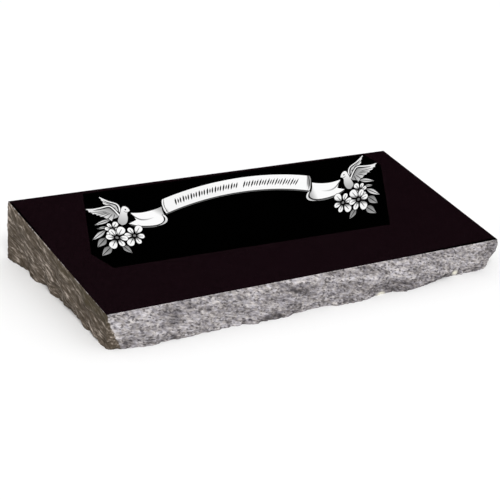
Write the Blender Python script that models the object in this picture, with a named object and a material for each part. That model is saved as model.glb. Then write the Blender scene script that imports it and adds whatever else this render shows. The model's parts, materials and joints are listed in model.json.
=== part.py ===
"""A companion bevel grave marker in granite.

One block, low at the front and high at the back, with a flat sawn underside, a flat polished face
that slopes to the front, and four rock-pitched sides. A banner with a dove over blossoms at each
end is cut shallowly into the face. Metres, +Z up, the origin at the middle of the underside, the
low front towards -Y.
"""

import math

import bmesh
import bpy
from mathutils import Matrix, Vector, noise

# The block. These are the sizes of the polished face's plan and of the heights at its edges.
WIDTH = 0.914
DEPTH = 0.380
BACK_HEIGHT = 0.117
FRONT_HEIGHT = 0.067

# The rock-pitched sides, as one grid of facets round the block.
FACET_LENGTH = 0.0100
FACET_ROWS = 8
FRONT_TOE = 0.0150
BACK_TOE = 0.0120
BELLY = 0.0045
LEFT_LIP = 0.0035
RIGHT_LIP = 0.0065
ARRIS_FADE = 0.012
CORNER_REACH = 0.020
CORNER_CALM = 0.70

# How a side's lean runs from the face's edge down to the foot.
TOE_POWER = 0.8
BELLY_POWER = 0.7
UNDERCUT_POWER = 1.5
RIGHT_BREAK = ((0.40, 0.0), (0.70, 0.55), (1.00, 1.0))
LEFT_LIP_SHARE = 0.4
RIGHT_LIP_SHARE = 0.65

# The broken surface: large shallow scoops, small ones inside them, and a coarse grain.
SCOOP_SPACING = (0.085, 0.085, 0.052)
SCOOP_DEPTH = 0.0075
CHIP_SPACING = (0.030, 0.030, 0.019)
CHIP_DEPTH = 0.0028
SCOOP_STEEPNESS = 2.2
ROUGH_SPACING = 0.016
ROUGH_HEIGHT = 0.0016

# How far the foot of the front and back stands forward along the width, as shares of the toe.
# Places are shares of the width, from the left end to the right end as seen from the front.
FRONT_SWELL = (
    (-0.50, 0.05), (-0.47, 0.60), (-0.42, 0.95), (-0.28, 0.80), (-0.13, 1.15),
    (0.00, 0.80), (0.08, 1.15), (0.17, 0.75), (0.23, 0.95), (0.31, 0.50),
    (0.39, -0.20), (0.44, 0.10), (0.50, -0.30),
)
BACK_SWELL = (
    (-0.50, 0.10), (-0.38, 0.90), (-0.20, 0.65), (-0.02, 1.10), (0.18, 0.80),
    (0.36, 1.00), (0.50, 0.10),
)
# How far the foot of each end is broken back under the face, from the front edge to the back one.
LEFT_UNDERCUT = (
    (-0.50, 0.0085), (-0.40, 0.0070), (-0.35, 0.0095), (-0.18, 0.0110), (-0.08, 0.0125),
    (-0.02, 0.0190), (0.08, 0.0165), (0.15, 0.0210), (0.20, 0.0125), (0.27, 0.0130),
    (0.33, 0.0180), (0.39, 0.0125), (0.50, 0.0055),
)
RIGHT_UNDERCUT = (
    (-0.50, 0.0145), (-0.36, 0.0170), (-0.22, 0.0200), (-0.05, 0.0120), (0.10, 0.0160),
    (0.24, 0.0100), (0.38, 0.0150), (0.50, 0.0080),
)

# The picture on the face. Its frame is set by four corners, each with its margin to the nearer end
# and to the nearer long edge. The frame leans to the right and widens towards the back.
BACK_LEFT_MARGINS = (0.120, 0.031)
BACK_RIGHT_MARGINS = (0.003, 0.007)
FRONT_LEFT_MARGINS = (0.085, 0.161)
FRONT_RIGHT_MARGINS = (0.210, 0.1515)
PICTURE_STRETCH = 0.036
PICTURE_DEPTH = 0.0008
CUTTER_RISE = 0.004
CURVE_STEPS = 2

# The picture is drawn upright in its own units, about a millimetre each, from its middle.
# What stands at an end of the banner is drawn for the right end, from the end of the band.
BAND_HALF_WIDTH = 176.0
BAND_HEIGHT = 39.0
BAND_RISE = 26.0
BAND_END_FOOT = 8.0
BAND_BOW = 3.5
BAND_BOW_PLACES = (0.2, 0.5, 0.8)
BAND_POINTS = 14
END_WIDTH = 184.0
DRAWN_HALF_HEIGHT = 80.0

MARK_GROUPS = (8, 7)
MARK_GROUP_GAP = 0.55
MARK_LEFT_GAP = 27.0
MARK_RIGHT_GAP = 27.0
MARK_SLANT = 0.28
MARK_SHOULDER = 0.35
# The strokes at one place: how far along its pitch, and their height and width.
MARK_STROKES = ((0.10, 20.0, 3.6), (0.42, 14.0, 3.0), (0.72, 18.0, 3.2))

FOLD = (
    ((-1.5, 6.5), (-6.0, 0.0), (-7.5, -8.0), (-3.5, -15.0), (6.0, -19.5), (22.0, -21.5)),
    ((22.0, -21.5), (9.0, -17.5), (1.0, -12.5), (-2.5, -7.0), (-2.0, 0.0), (1.5, 5.5)),
    ((1.5, 5.5), (-1.5, 6.5)),
)
TAIL = (
    ((6.0, 28.0), (20.0, 24.0), (38.0, 21.0), (58.0, 20.5), (78.5, 24.0)),
    ((78.5, 24.0), (74.5, 13.0), (72.5, 3.0)),
    ((72.5, 3.0), (92.0, -3.5)),
    ((92.0, -3.5), (78.0, -10.5), (61.0, -15.5), (40.0, -18.0), (22.0, -17.5), (9.0, -14.0),
     (2.0, -8.0), (1.0, 0.0)),
    ((1.0, 0.0), (5.5, 6.0), (7.0, 16.0), (6.0, 28.0)),
)
DOVE_BODY = (
    ((78.0, 30.5), (80.0, 39.0), (85.0, 44.5), (91.0, 44.0), (96.5, 36.5), (102.5, 26.0),
     (109.5, 15.5), (114.5, 5.0), (109.0, -4.5)),
    ((109.0, -4.5), (100.5, -3.5), (93.5, 3.0), (89.0, 12.5), (87.5, 21.5), (84.5, 27.5)),
    ((84.5, 27.5), (78.0, 30.5)),
)
# Each wing is its smooth leading edge, then the tips of its feathers, then how deep they are cut.
NEAR_WING = (
    ((107.0, 26.5), (111.0, 38.0), (116.0, 48.0), (123.0, 51.0), (138.0, 50.0), (154.0, 51.0),
     (168.5, 54.0)),
    ((168.5, 54.0), (165.0, 43.5), (158.5, 36.5), (151.5, 31.5), (145.0, 26.5), (136.0, 19.5),
     (126.5, 10.5), (114.0, 17.5)),
    2.8,
)
FAR_WING = (
    ((99.5, 39.0), (98.0, 50.0), (102.5, 57.5), (113.0, 65.5), (121.0, 73.5), (128.7, 82.0)),
    ((128.7, 82.0), (128.0, 71.0), (127.0, 60.5), (121.5, 55.5), (113.5, 52.5), (106.5, 39.5)),
    1.8,
)
FEATHER_STEP = 0.25
# Feathers of the tail and leaves: foot, tip and half width.
TAIL_FEATHERS = (((134.0, 13.5), (169.0, 6.5), 4.0), ((145.5, -2.7), (168.0, -4.5), 2.6),
                 ((152.0, -12.0), (190.5, -31.5), 4.8))
LEAVES = (((130.0, -59.5), (114.5, -80.0), 7.0), ((154.0, -54.5), (189.5, -75.5), 7.5),
          ((158.5, -32.0), (188.5, -51.5), 7.5))
LEAF_WIDEST = 0.42
# Blossoms: middle, length of a petal, and turn. Angles are in radians.
BLOSSOMS = (((133.2, -35.0), 20.0, 0.25), ((91.2, -37.0), 16.5, 0.25), ((132.0, -1.0), 9.5, 0.25))
PETALS = 6
PETAL_STEPS = 8
PETAL_FOOT = 0.24
PETAL_HALF_WIDTH = 0.27
PETAL_WIDEST = 0.60
PETAL_TAPER = 0.35
BLOSSOM_HEART = 0.15

SPLIT_TOLERANCE = 1e-7
WELD_DISTANCE = 1e-6


def clear_scene():
    for old in list(bpy.data.objects):
        bpy.data.objects.remove(old)


def collection_named(name):
    made = bpy.data.collections.new(name)
    bpy.context.scene.collection.children.link(made)
    return made


def stone_material(name, colour, roughness):
    made = bpy.data.materials.new(name)
    made.use_nodes = True
    shader = made.node_tree.nodes["Principled BSDF"]
    shader.inputs["Base Color"].default_value = (*colour, 1.0)
    shader.inputs["Roughness"].default_value = roughness
    shader.inputs["Metallic"].default_value = 0.0
    made.diffuse_color = (*colour, 1.0)
    return made


def along(stations, place):
    """The value at a place, eased between the stations either side of it."""
    for (start, low), (end, high) in zip(stations, stations[1:]):
        if place <= end:
            share = max(0.0, (place - start) / (end - start))
            share = share * share * (3 - 2 * share)
            return low + (high - low) * share
    return stations[-1][1]


def face_height(y):
    """The height of the polished face above the underside at y."""
    return FRONT_HEIGHT + (BACK_HEIGHT - FRONT_HEIGHT) * (y / DEPTH + 0.5)


# The rock-pitched sides


def scoop(point, spacing):
    """0 on the ridge between two scoops, 1 in the middle of one."""
    place = Vector([value / step for value, step in zip(point, spacing)])
    nearest = noise.voronoi(place)[0][0]
    return max(0.0, 1.0 - SCOOP_STEEPNESS * nearest**2)


def broken_surface(point):
    """How far the broken stone stands out at a point of the plain block."""
    rough = ROUGH_HEIGHT * noise.noise(point / ROUGH_SPACING)
    hollows = SCOOP_DEPTH * scoop(point, SCOOP_SPACING) + CHIP_DEPTH * scoop(point, CHIP_SPACING)
    return rough + 0.5 * SCOOP_DEPTH - hollows


def toe(swell, reach, share, down):
    """How far the foot of the front or back draws the stone out, part way down."""
    return along(swell, share) * reach * down**TOE_POWER


def belly(down):
    """The swelling of the front and back between the face's edge and the foot."""
    return BELLY * math.sin(math.pi * down**BELLY_POWER)


def undercut(right, share, down):
    """How far the foot of an end is broken back, part way down. The right one breaks off lower."""
    if right:
        return along(RIGHT_UNDERCUT, share) * along(RIGHT_BREAK, down)
    return along(LEFT_UNDERCUT, share) * down**UNDERCUT_POWER


def lip(right, corner, down):
    """The slight lip of an end under the face. The left one has none at its upright corners."""
    reach, share = (RIGHT_LIP, RIGHT_LIP_SHARE) if right else (LEFT_LIP, LEFT_LIP_SHARE)
    calm = 0.0 if right else corner
    return reach * math.sin(math.pi * min(1.0, down / share)) * (1.0 - calm)


def rock_offset(point):
    """The outward movement of a point on the block's plain sides. Its upright corners stay calm."""
    height = face_height(point.y)
    down = max(0.0, 1.0 - point.z / height)
    right = point.x > 0
    back = point.y > 0
    end_share = math.exp((abs(point.x) - WIDTH / 2) / CORNER_REACH)
    long_share = math.exp((abs(point.y) - DEPTH / 2) / CORNER_REACH)
    corner = end_share * long_share

    out_x = (lip(right, corner, down) - undercut(right, point.y / DEPTH, down)) * end_share
    swell, reach = (BACK_SWELL, BACK_TOE) if back else (FRONT_SWELL, FRONT_TOE)
    out_y = (toe(swell, reach, point.x / WIDTH, down) + belly(down) * (1.0 - corner)) * long_share
    leant = Vector((out_x if right else -out_x, out_y if back else -out_y, 0.0))

    outward = (math.copysign(end_share**2, point.x), math.copysign(long_share**2, point.y), 0.0)
    fade = min(1.0, down * height / ARRIS_FADE) * (1.0 - CORNER_CALM * corner)
    return leant + Vector(outward).normalized() * broken_surface(point) * fade


def plain_block():
    """The block before its sides are broken: a cube whose top is tilted to the front."""
    block = bmesh.new()
    bmesh.ops.create_cube(block, size=1.0)
    for vert in block.verts:
        y = vert.co.y * DEPTH
        vert.co = Vector((vert.co.x * WIDTH, y, face_height(y) if vert.co.z > 0 else 0.0))
    return block


def side_faces(block, axis=None):
    """The upright faces, or only those that face along one axis."""
    block.normal_update()
    upright = [face for face in block.faces if abs(face.normal.z) < 0.01]
    return [face for face in upright if axis is None or abs(face.normal[axis]) > 0.99]


def split_sides(block, faces, point, normal):
    edges = {edge for face in faces for edge in face.edges}
    verts = {vert for face in faces for vert in face.verts}
    bmesh.ops.bisect_plane(
        block, geom=[*verts, *edges, *faces], dist=SPLIT_TOLERANCE, plane_co=point, plane_no=normal
    )


def grid_sides(block):
    """Cuts the sides into facets: columns along each side, and rows that fan with the slope."""
    for axis, length, facing in ((0, WIDTH, 1), (1, DEPTH, 0)):
        columns = max(4, round(length / FACET_LENGTH))
        normal = Vector((1.0, 0.0, 0.0)) if axis == 0 else Vector((0.0, 1.0, 0.0))
        for column in range(1, columns):
            point = normal * length * (column / columns - 0.5)
            split_sides(block, side_faces(block, facing), point, normal)
    rise = (BACK_HEIGHT - FRONT_HEIGHT) / DEPTH
    for row in range(1, FACET_ROWS):
        share = row / FACET_ROWS
        point = Vector((0.0, 0.0, share * face_height(0.0)))
        split_sides(block, side_faces(block), point, Vector((0.0, -rise * share, 1.0)))


def break_sides(block):
    on_sides = {vert for face in side_faces(block) for vert in face.verts}
    for vert, offset in [(vert, rock_offset(vert.co)) for vert in on_sides]:
        vert.co += offset


def marker_block(parts, polished, rock):
    block = plain_block()
    grid_sides(block)
    break_sides(block)
    block.normal_update()
    mesh = bpy.data.meshes.new("granite_marker")
    mesh.materials.append(polished)
    mesh.materials.append(rock)
    slope = Vector((0.0, FRONT_HEIGHT - BACK_HEIGHT, DEPTH)).normalized()
    for face in block.faces:
        face.material_index = 0 if face.normal.dot(slope) > 0.9999 else 1
    block.to_mesh(mesh)
    block.free()
    marker = bpy.data.objects.new("granite_marker", mesh)
    parts.objects.link(marker)
    return marker


# The picture's outlines, in drawing units


def smooth_run(points):
    """Points along a smooth open curve through the given points, without the last one."""
    ends = [points[0], *points, points[-1]]
    found = []
    for before, start, end, after in zip(ends, ends[1:], ends[2:], ends[3:]):
        for step in range(CURVE_STEPS):
            t = step / CURVE_STEPS
            found.append(tuple(
                0.5 * (2 * b + (c - a) * t + (2 * a - 5 * b + 4 * c - d) * t**2
                       + (3 * b - a - 3 * c + d) * t**3)
                for a, b, c, d in zip(before, start, end, after)
            ))
    return found


def outline(runs):
    """A closed outline of smooth runs that meet at corners."""
    return [point for run in runs for point in smooth_run(run)]


def band_foot(x):
    return BAND_END_FOOT + BAND_RISE * (1.0 - (x / BAND_HALF_WIDTH) ** 2)


def band():
    """The arched middle of the banner, with slightly bowed ends."""
    across = [BAND_HALF_WIDTH * (2 * n / BAND_POINTS - 1) for n in range(BAND_POINTS + 1)]
    foot = [(x, band_foot(x)) for x in across]
    top = [(x, band_foot(x) + BAND_HEIGHT) for x in across]
    bow = []
    for share in BAND_BOW_PLACES:
        out = BAND_BOW * math.sin(math.pi * share) ** 0.5
        bow.append((BAND_HALF_WIDTH + out, BAND_END_FOOT + BAND_HEIGHT * share))
    return foot + bow + top[::-1] + [(-x, y) for x, y in bow[::-1]]


def mark(middle, height, width, slant):
    """One slanted stroke of the inscription's place, pointed at both ends."""
    half, reach = width / 2, height / 2
    side = [(1, -MARK_SHOULDER), (1, MARK_SHOULDER), (0, 1)]
    shape = side + [(-x, -y) for x, y in side]
    return [(middle[0] + x * half + y * reach * slant, middle[1] + y * reach) for x, y in shape]


def marks():
    """A row of strokes that follows the band, three to a place, in two groups."""
    count = sum(MARK_GROUPS)
    pitch = (2 * BAND_HALF_WIDTH - MARK_LEFT_GAP - MARK_RIGHT_GAP) / (count + MARK_GROUP_GAP)
    found = []
    for place in [n + MARK_GROUP_GAP * (n >= MARK_GROUPS[0]) for n in range(count)]:
        for share, height, width in MARK_STROKES:
            x = MARK_LEFT_GAP - BAND_HALF_WIDTH + pitch * (place + share)
            y = band_foot(x) + BAND_HEIGHT / 2
            slant = MARK_SLANT + 2 * BAND_RISE * x / BAND_HALF_WIDTH**2
            found.append(mark((x, y), height, width, slant))
    return found


def petal(centre, length, turn):
    """A long oval petal, pointed at its foot and round at its tip."""
    foot = PETAL_FOOT * length
    out = Vector((math.cos(turn), math.sin(turn)))
    side = Vector((-out.y, out.x))
    found = []
    for n in range(PETAL_STEPS):
        angle = 2 * math.pi * n / PETAL_STEPS
        share = 0.5 - 0.5 * math.cos(angle)
        bulge = math.sin(angle) * (share / PETAL_WIDEST) ** PETAL_TAPER
        place = Vector(centre) + out * (foot + (length - foot) * share)
        found.append(tuple(place + side * bulge * PETAL_HALF_WIDTH * length))
    return found


def disc(centre, radius, count):
    turns = [2 * math.pi * n / count for n in range(count)]
    return [(centre[0] + radius * math.cos(a), centre[1] + radius * math.sin(a)) for a in turns]


def blossom(centre, radius, turn):
    petals = [petal(centre, radius, turn + 2 * math.pi * n / PETALS) for n in range(PETALS)]
    return [*petals, disc(centre, BLOSSOM_HEART * radius, PETAL_STEPS)]


def leaf(foot, tip, half_width):
    """A pointed leaf or feather, widest a little nearer its foot."""
    run = Vector(tip) - Vector(foot)
    side = Vector((-run.y, run.x)).normalized() * half_width
    middle = Vector(foot) + run * LEAF_WIDEST
    return outline([(foot, tuple(middle + side), tip), (tip, tuple(middle - side), foot)])


def wing(leading_edge, tips, cut):
    """A smooth leading edge, then an edge that steps from feather tip to feather tip."""
    found = outline([leading_edge])
    for tip, after in zip(tips, tips[1:]):
        run = Vector(after) - Vector(tip)
        inward = Vector((run.y, -run.x)).normalized() * cut
        found += [tip, tuple(Vector(tip) + run * FEATHER_STEP + inward)]
    return [*found, tips[-1]]


def end_figures():
    """What stands at the right end: the fold and tail, the dove, the blossoms and the leaves."""
    found = [outline(runs) for runs in (FOLD, TAIL, DOVE_BODY)]
    found += [wing(*shape) for shape in (NEAR_WING, FAR_WING)]
    found += [leaf(*shape) for shape in (*TAIL_FEATHERS, *LEAVES)]
    for flower in BLOSSOMS:
        found += blossom(*flower)
    return found


def picture():
    """Every outline of the picture. The marks lie inside the band, where they stay uncut."""
    found = [band(), *marks()]
    for end in (1, -1):
        found += [[(end * (BAND_HALF_WIDTH + x), y) for x, y in shape] for shape in end_figures()]
    return found


# Cutting the picture


def face_frame():
    """The polished face's own frame: X along the width, Y up the slope, Z out of the stone."""
    slope = math.atan2(BACK_HEIGHT - FRONT_HEIGHT, DEPTH)
    return Matrix.Translation((0.0, 0.0, face_height(0.0))) @ Matrix.Rotation(slope, 4, "X")


def frame_corner(margins, side, edge):
    """A corner of the picture's frame, from its margins to an end and a long edge of the face."""
    half_length = math.hypot(DEPTH, BACK_HEIGHT - FRONT_HEIGHT) / 2
    return Vector((side * (WIDTH / 2 - margins[0]), edge * (half_length - margins[1])))


def on_face(point):
    """A point of the drawing in the face's frame, between the four corners of the picture."""
    share = point[0] / (BAND_HALF_WIDTH + END_WIDTH)
    across = (share + PICTURE_STRETCH * (share * share - 1) + 1) / 2
    up = (point[1] / DRAWN_HALF_HEIGHT + 1) / 2
    front_left = frame_corner(FRONT_LEFT_MARGINS, -1, -1)
    front_right = frame_corner(FRONT_RIGHT_MARGINS, 1, -1)
    back_left = frame_corner(BACK_LEFT_MARGINS, -1, 1)
    back_right = frame_corner(BACK_RIGHT_MARGINS, 1, 1)
    front = front_left.lerp(front_right, across)
    return tuple(front.lerp(back_left.lerp(back_right, across), up))


def picture_cutter(cutters, etched):
    """The picture as one flat cutter, from its depth to a little above the face."""
    curve = bpy.data.curves.new("picture_outlines", "CURVE")
    curve.dimensions = "2D"
    curve.fill_mode = "BOTH"
    curve.extrude = (PICTURE_DEPTH + CUTTER_RISE) / 2
    for shape in picture():
        spline = curve.splines.new("POLY")
        spline.points.add(len(shape) - 1)
        for target, point in zip(spline.points, shape):
            target.co = (*on_face(point), 0.0, 1.0)
        spline.use_cyclic_u = True
    flat = bpy.data.objects.new("picture_outlines", curve)
    flat.matrix_world = face_frame() @ Matrix.Translation((0.0, 0.0, (CUTTER_RISE - PICTURE_DEPTH) / 2))
    cutters.objects.link(flat)
    bpy.context.view_layer.update()
    evaluated = flat.evaluated_get(bpy.context.evaluated_depsgraph_get())
    mesh = bpy.data.meshes.new_from_object(evaluated)
    welded = bmesh.new()
    welded.from_mesh(mesh)
    bmesh.ops.remove_doubles(welded, verts=welded.verts, dist=WELD_DISTANCE)
    welded.to_mesh(mesh)
    welded.free()
    mesh.materials.clear()
    mesh.materials.append(etched)
    cutter = bpy.data.objects.new("picture_cutter", mesh)
    cutter.matrix_world = flat.matrix_world
    bpy.data.objects.remove(flat)
    cutter.hide_render = True
    cutter.display_type = "WIRE"
    cutters.objects.link(cutter)
    return cutter


def main():
    clear_scene()
    parts = collection_named("bevel_grave_marker")
    cutters = collection_named("cutters")
    polished = stone_material("polished_black_granite", (0.0075, 0.0030, 0.0044), 0.12)
    rock = stone_material("rock_pitched_granite", (0.32, 0.30, 0.31), 0.85)
    etched = stone_material("etched_granite", (0.80, 0.80, 0.80), 0.75)
    marker = marker_block(parts, polished, rock)
    cut = marker.modifiers.new("picture", "BOOLEAN")
    cut.operation = "DIFFERENCE"
    cut.solver = "EXACT"
    cut.material_mode = "TRANSFER"
    cut.object = picture_cutter(cutters, etched)


main()
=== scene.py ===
"""The looks of a companion bevel grave marker in granite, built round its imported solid.

One block: a polished black face that slopes to the front, four rock-pitched sides, and a picture
etched into the face. The fine mesh keeps the solid's form, from the same sizes, and adds the small
relief of the broken stone and the lines of the picture. Metres, +Z up, the low front towards -Y.
"""

import json
import math
from collections import namedtuple

import bpy
from mathutils import Matrix, Vector, geometry, noise


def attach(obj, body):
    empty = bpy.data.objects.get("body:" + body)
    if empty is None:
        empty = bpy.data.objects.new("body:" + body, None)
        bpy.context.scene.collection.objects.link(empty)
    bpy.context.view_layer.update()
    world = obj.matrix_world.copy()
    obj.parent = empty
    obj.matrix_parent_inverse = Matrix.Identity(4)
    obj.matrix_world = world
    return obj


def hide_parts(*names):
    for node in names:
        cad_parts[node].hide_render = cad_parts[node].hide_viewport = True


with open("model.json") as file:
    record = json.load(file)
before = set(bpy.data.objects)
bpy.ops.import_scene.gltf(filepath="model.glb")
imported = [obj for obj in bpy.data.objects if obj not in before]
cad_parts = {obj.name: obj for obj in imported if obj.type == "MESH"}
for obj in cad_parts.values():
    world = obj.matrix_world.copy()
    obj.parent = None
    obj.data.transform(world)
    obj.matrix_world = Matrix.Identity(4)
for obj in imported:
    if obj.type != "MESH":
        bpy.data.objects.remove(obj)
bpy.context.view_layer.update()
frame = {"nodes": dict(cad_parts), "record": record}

# The camera stands where the photograph was taken from. Its aim is the point that lies in the
# middle of the photograph.
CAMERA_AZIMUTH = math.radians(-37.956)
CAMERA_ELEVATION = math.radians(24.303)
CAMERA_ROLL = math.radians(-7.856)
CAMERA_DISTANCE = 2.6963
CAMERA_AIM = Vector((-0.0263, 0.0, 0.0340))
CAMERA_LENS = 99.24

FLOOR_SIZE = 80.0
FLOOR_COLOUR = (0.90, 0.90, 0.90)
FLOOR_ROUGHNESS = 0.9
WORLD_COLOUR = (1.0, 1.0, 1.0)
WORLD_STRENGTH = 0.80
# Each sun: azimuth and elevation that it shines from, strength, and the angle it spreads over.
# Angles are in degrees.
SUNS = (((-30.0, 50.0), 1.6, 25.0),)

# The fine grid of the sides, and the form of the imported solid's sides.
COLUMN_WIDTH = 0.0022
SIDE_ROWS = 42
FRONT_TOE = 0.0150
BACK_TOE = 0.0120
BELLY = 0.0045
LEFT_LIP = 0.0035
RIGHT_LIP = 0.0065
ARRIS_FADE = 0.012
CORNER_REACH = 0.020
CORNER_CALM = 0.70
TOE_POWER = 0.8
BELLY_POWER = 0.7
UNDERCUT_POWER = 1.5
RIGHT_BREAK = ((0.40, 0.0), (0.70, 0.55), (1.00, 1.0))
LEFT_LIP_SHARE = 0.4
RIGHT_LIP_SHARE = 0.65
SCOOP_SPACING = (0.085, 0.085, 0.052)
SCOOP_DEPTH = 0.0075
CHIP_SPACING = (0.030, 0.030, 0.019)
CHIP_DEPTH = 0.0028
SCOOP_STEEPNESS = 2.2
RIDGE_SHARE = 0.5
ROUGH_SPACING = 0.016
ROUGH_HEIGHT = 0.0016
FRONT_SWELL = (
    (-0.50, 0.05), (-0.47, 0.60), (-0.42, 0.95), (-0.28, 0.80), (-0.13, 1.15),
    (0.00, 0.80), (0.08, 1.15), (0.17, 0.75), (0.23, 0.95), (0.31, 0.50),
    (0.39, -0.20), (0.44, 0.10), (0.50, -0.30),
)
BACK_SWELL = (
    (-0.50, 0.10), (-0.38, 0.90), (-0.20, 0.65), (-0.02, 1.10), (0.18, 0.80),
    (0.36, 1.00), (0.50, 0.10),
)
LEFT_UNDERCUT = (
    (-0.50, 0.0085), (-0.40, 0.0070), (-0.35, 0.0095), (-0.18, 0.0110), (-0.08, 0.0125),
    (-0.02, 0.0190), (0.08, 0.0165), (0.15, 0.0210), (0.20, 0.0125), (0.27, 0.0130),
    (0.33, 0.0180), (0.39, 0.0125), (0.50, 0.0055),
)
RIGHT_UNDERCUT = (
    (-0.50, 0.0145), (-0.36, 0.0170), (-0.22, 0.0200), (-0.05, 0.0120), (0.10, 0.0160),
    (0.24, 0.0100), (0.38, 0.0150), (0.50, 0.0080),
)

# The small relief that the solid leaves out: flakes, splinters, a grain, and bites out of the foot.
# A level is the value at which a flake or splinter lies even with the broken surface.
FLAKE_SPACING = (0.013, 0.013, 0.0070)
FLAKE_DEPTH = 0.0012
FLAKE_LEVEL = 0.45
SPLINTER_SPACING = (0.0075, 0.0075, 0.0038)
SPLINTER_HEIGHT = 0.0008
SPLINTER_LEVEL = 0.55
SPLINTER_STEEPNESS = 2.0
GRAIN_SPACING = 0.0032
GRAIN_HEIGHT = 0.0004
WARP_SPACING = 0.020
WARP_REACH = 0.006
NOISE_SEED = 1
FINE_FADE = 0.004
BITE_SPACING = 0.011
BITE_DEPTH = 0.0060
BITE_POWER = 5.0
# The range of the relief's height that the colour follows: hollows are painted darker, as painted
# shade, and ridges lighter, as painted highlight.
RELIEF_SHADE_RANGE = 0.0065

# Shaded places on the front: middle in X and height, half length, half height, how it dips to the
# right, and how deep it lies. A place that stands proud has a negative depth. Through the relief, a
# deep place is also painted darker, as painted shade, and a proud one lighter, as painted highlight.
FRONT_SHADED_PLACES = (
    ((-0.064, 0.048), 0.040, 0.0055, 22.0, 0.0030),
    ((-0.052, 0.058), 0.034, 0.0050, 22.0, -0.0012),
    ((-0.119, 0.006), 0.034, 0.0060, 4.0, 0.0024),
    ((0.176, 0.017), 0.060, 0.0095, 6.0, 0.0028),
    ((0.165, 0.036), 0.075, 0.0055, 6.0, -0.0014),
    ((0.075, 0.008), 0.055, 0.0055, -4.0, 0.0018),
    ((-0.318, 0.042), 0.020, 0.0110, 10.0, 0.0016),
    ((-0.354, 0.019), 0.028, 0.0100, 0.0, -0.0012),
    ((-0.413, 0.011), 0.013, 0.0065, 25.0, 0.0024),
    ((0.330, 0.004), 0.090, 0.0050, -3.0, 0.0016),
)

# Small cream chips on the front: middle in X and height, half length and half height.
FRONT_CHIPS = (((0.150, 0.001), 0.0150, 0.0055), ((0.357, 0.007), 0.0090, 0.0068))

# The brown skin of the ends, which comes round the front left corner as a ragged wedge. Its colour
# is partly the stone's own brown and partly painted shade, which makes the ends darker. It starts
# a little inside the corner, and its edge wavers more the further down it is.
SKIN_WEDGE = 0.026
SKIN_START = 0.0005
SKIN_WAVER = 0.006
SKIN_WAVER_SPACING = 0.012
SKIN_WAVER_RISE = 4
END_TOLERANCE = 1e-4
# The duller band of the skin, under the left end's face: how far down it comes, where it ends
# towards the back, and how fast it fades there and below.
DULL_REACH = 0.028
DULL_END = 0.060
DULL_FADE = 0.150
DULL_FOOT_FADE = 0.012
DULL_WAVER = 0.9
DULL_WAVER_SPACING = 0.018
DULL_COVER = 0.80

# The picture. Its frame's corners are given by their margins to an end and to a long edge.
BACK_LEFT_MARGINS = (0.120, 0.031)
BACK_RIGHT_MARGINS = (0.003, 0.007)
FRONT_LEFT_MARGINS = (0.085, 0.161)
FRONT_RIGHT_MARGINS = (0.210, 0.1515)
PICTURE_STRETCH = 0.036
PICTURE_DEPTH = 0.0008
CURVE_STEPS = 4
# Both are in millimetres: the grid of loose points in the shades, and when two points are one.
SHADE_POINT_SPACING = 3.0
MERGE_DISTANCE = 1e-4

# The drawing's own units are about a millimetre each, from its middle. What stands at an end of
# the banner is drawn for the right end, from the end of the band. A shade is the two points that it
# runs between and its tone at each, and tones are its tone at its start and end: 0 black, 1 white.
BAND_HALF_WIDTH = 176.0
BAND_HEIGHT = 39.0
BAND_RISE = 26.0
BAND_END_FOOT = 8.0
BAND_BOW = 3.5
BAND_BOW_PLACES = (0.2, 0.35, 0.5, 0.65, 0.8)
BAND_POINTS = 40
BAND_SEAM_INSET = 4.0
BAND_RIM = 7.0
BAND_RIM_TONES = (0.60, 0.97)
BAND_RIM_SHADE_HEIGHT = 20.0
BAND_SHADE = ((0.0, 20.0), (0.0, 60.0), 0.96, 0.98)
FOOT_SHADE_REACH = 3.4
FOOT_SHADE_TONES = (0.42, 0.42)
END_WIDTH = 184.0
DRAWN_HALF_HEIGHT = 80.0

MARK_GROUPS = (8, 7)
MARK_GROUP_GAP = 0.55
MARK_LEFT_GAP = 27.0
MARK_RIGHT_GAP = 27.0
MARK_SLANT = 0.28
MARK_SHOULDER = 0.35
# The strokes at one place: how far along its pitch, and their height and width.
MARK_STROKES = ((0.10, 20.0, 3.6), (0.42, 14.0, 3.0), (0.72, 18.0, 3.2))

FOLD = (
    ((-1.5, 6.5), (-6.0, 0.0), (-7.5, -8.0), (-3.5, -15.0), (6.0, -19.5), (22.0, -21.5)),
    ((22.0, -21.5), (9.0, -17.5), (1.0, -12.5), (-2.5, -7.0), (-2.0, 0.0), (1.5, 5.5)),
    ((1.5, 5.5), (-1.5, 6.5)),
)
TAIL = (
    ((6.0, 28.0), (20.0, 24.0), (38.0, 21.0), (58.0, 20.5), (78.5, 24.0)),
    ((78.5, 24.0), (74.5, 13.0), (72.5, 3.0)),
    ((72.5, 3.0), (92.0, -3.5)),
    ((92.0, -3.5), (78.0, -10.5), (61.0, -15.5), (40.0, -18.0), (22.0, -17.5), (9.0, -14.0),
     (2.0, -8.0), (1.0, 0.0)),
    ((1.0, 0.0), (5.5, 6.0), (7.0, 16.0), (6.0, 28.0)),
)
TAIL_CURL = ((77.5, 21.5), (72.0, 12.0), (65.0, 5.0), (56.0, 1.5), (44.0, 1.0), (30.0, 3.5))
TAIL_CURL_HALF_WIDTH = 1.9
TAIL_SHADE = ((0.0, 8.0), (16.0, 4.0), 0.72, 0.98)
TAIL_CURL_TONES = (0.42, 0.93)
FOLD_SHADE_START = (-8.0, 2.0)
FOLD_SHADE_END = (4.0, -16.0)
FOLD_TONES = (0.98, 0.80)
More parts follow.
